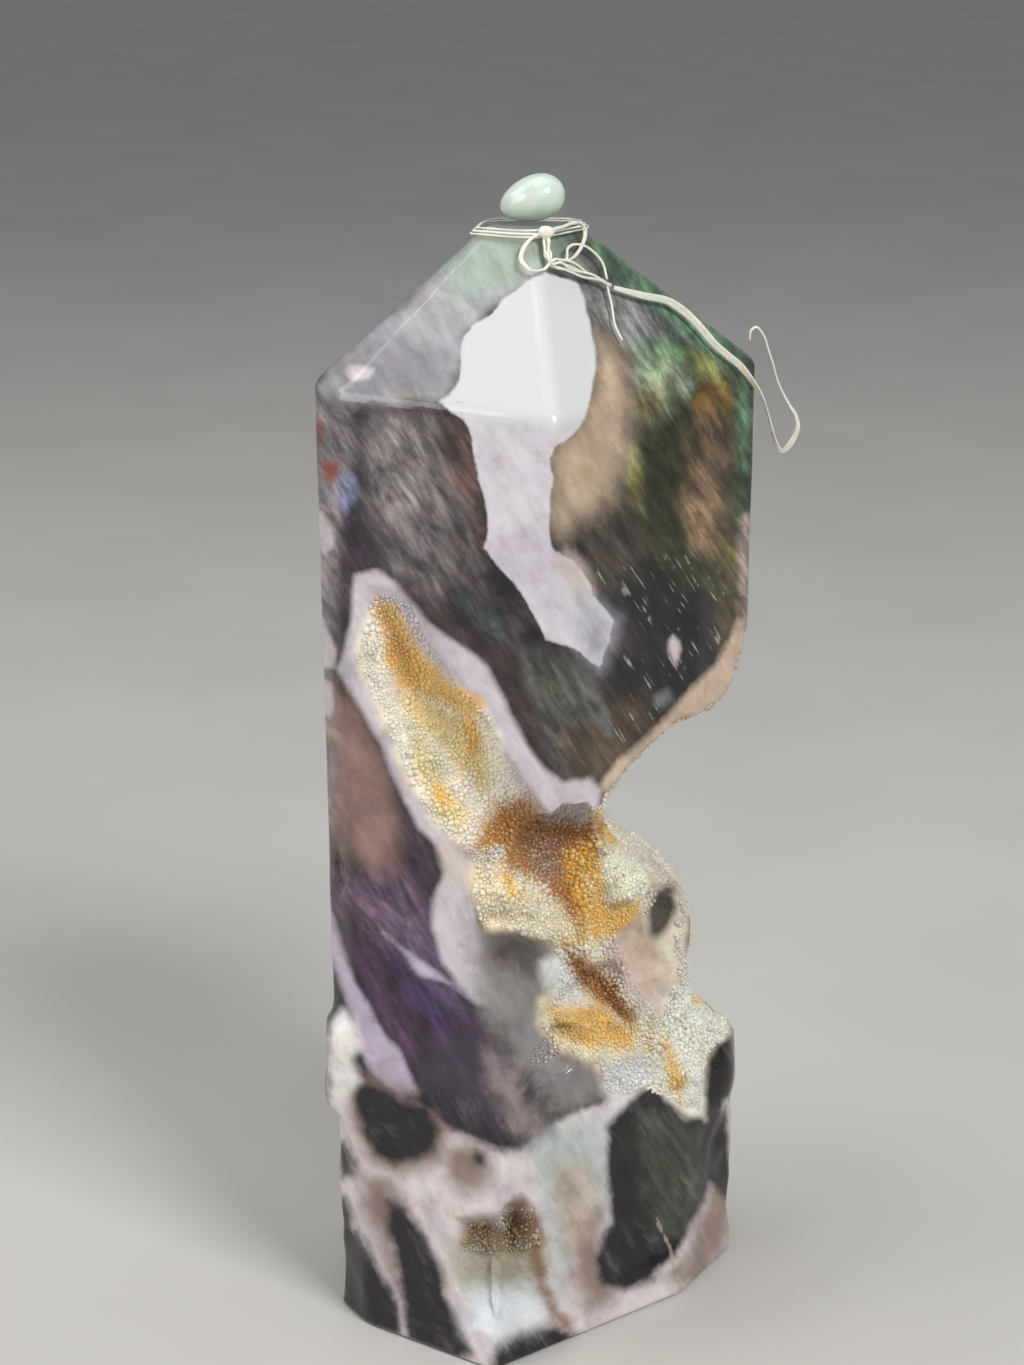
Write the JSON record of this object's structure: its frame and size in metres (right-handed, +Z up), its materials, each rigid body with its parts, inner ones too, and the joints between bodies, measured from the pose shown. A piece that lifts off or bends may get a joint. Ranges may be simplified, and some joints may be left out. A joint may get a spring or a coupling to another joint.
{
  "type": "druzy moss agate tower",
  "caption": "Polished faceted moss agate point standing on a flat base, with crystal-lined hollows, a deep side notch, and a small drop bead tied on its tip by a thin ribbon.",
  "frame": {"origin": "centre of the stone's base, on the surface that it stands on", "axes": "+Z up along the tower's length, -Y towards the front edge with the trough on its left, +X to the side with the deep notch"},
  "size_m": [0.0563, 0.0452, 0.1405],
  "materials": {
    "moss_agate": "polished agate, smoky grey and brown with milky white bands and green moss",
    "druzy_crystal": "small glassy quartz crystals, white to golden orange",
    "pale_green_bead": "polished translucent pale green",
    "cream_ribbon": "thin satin ribbon, slightly glossy"
  },
  "bodies": {
    "root": {"tower": "moss_agate", "druzy_crust_main": "druzy_crystal", "druzy_crust_lower": "druzy_crystal", "druzy_crust_foot": "druzy_crystal", "bead": "pale_green_bead", "ribbon_tie": "cream_ribbon", "ribbon_tail": "cream_ribbon"}
  },
  "joints": []
}
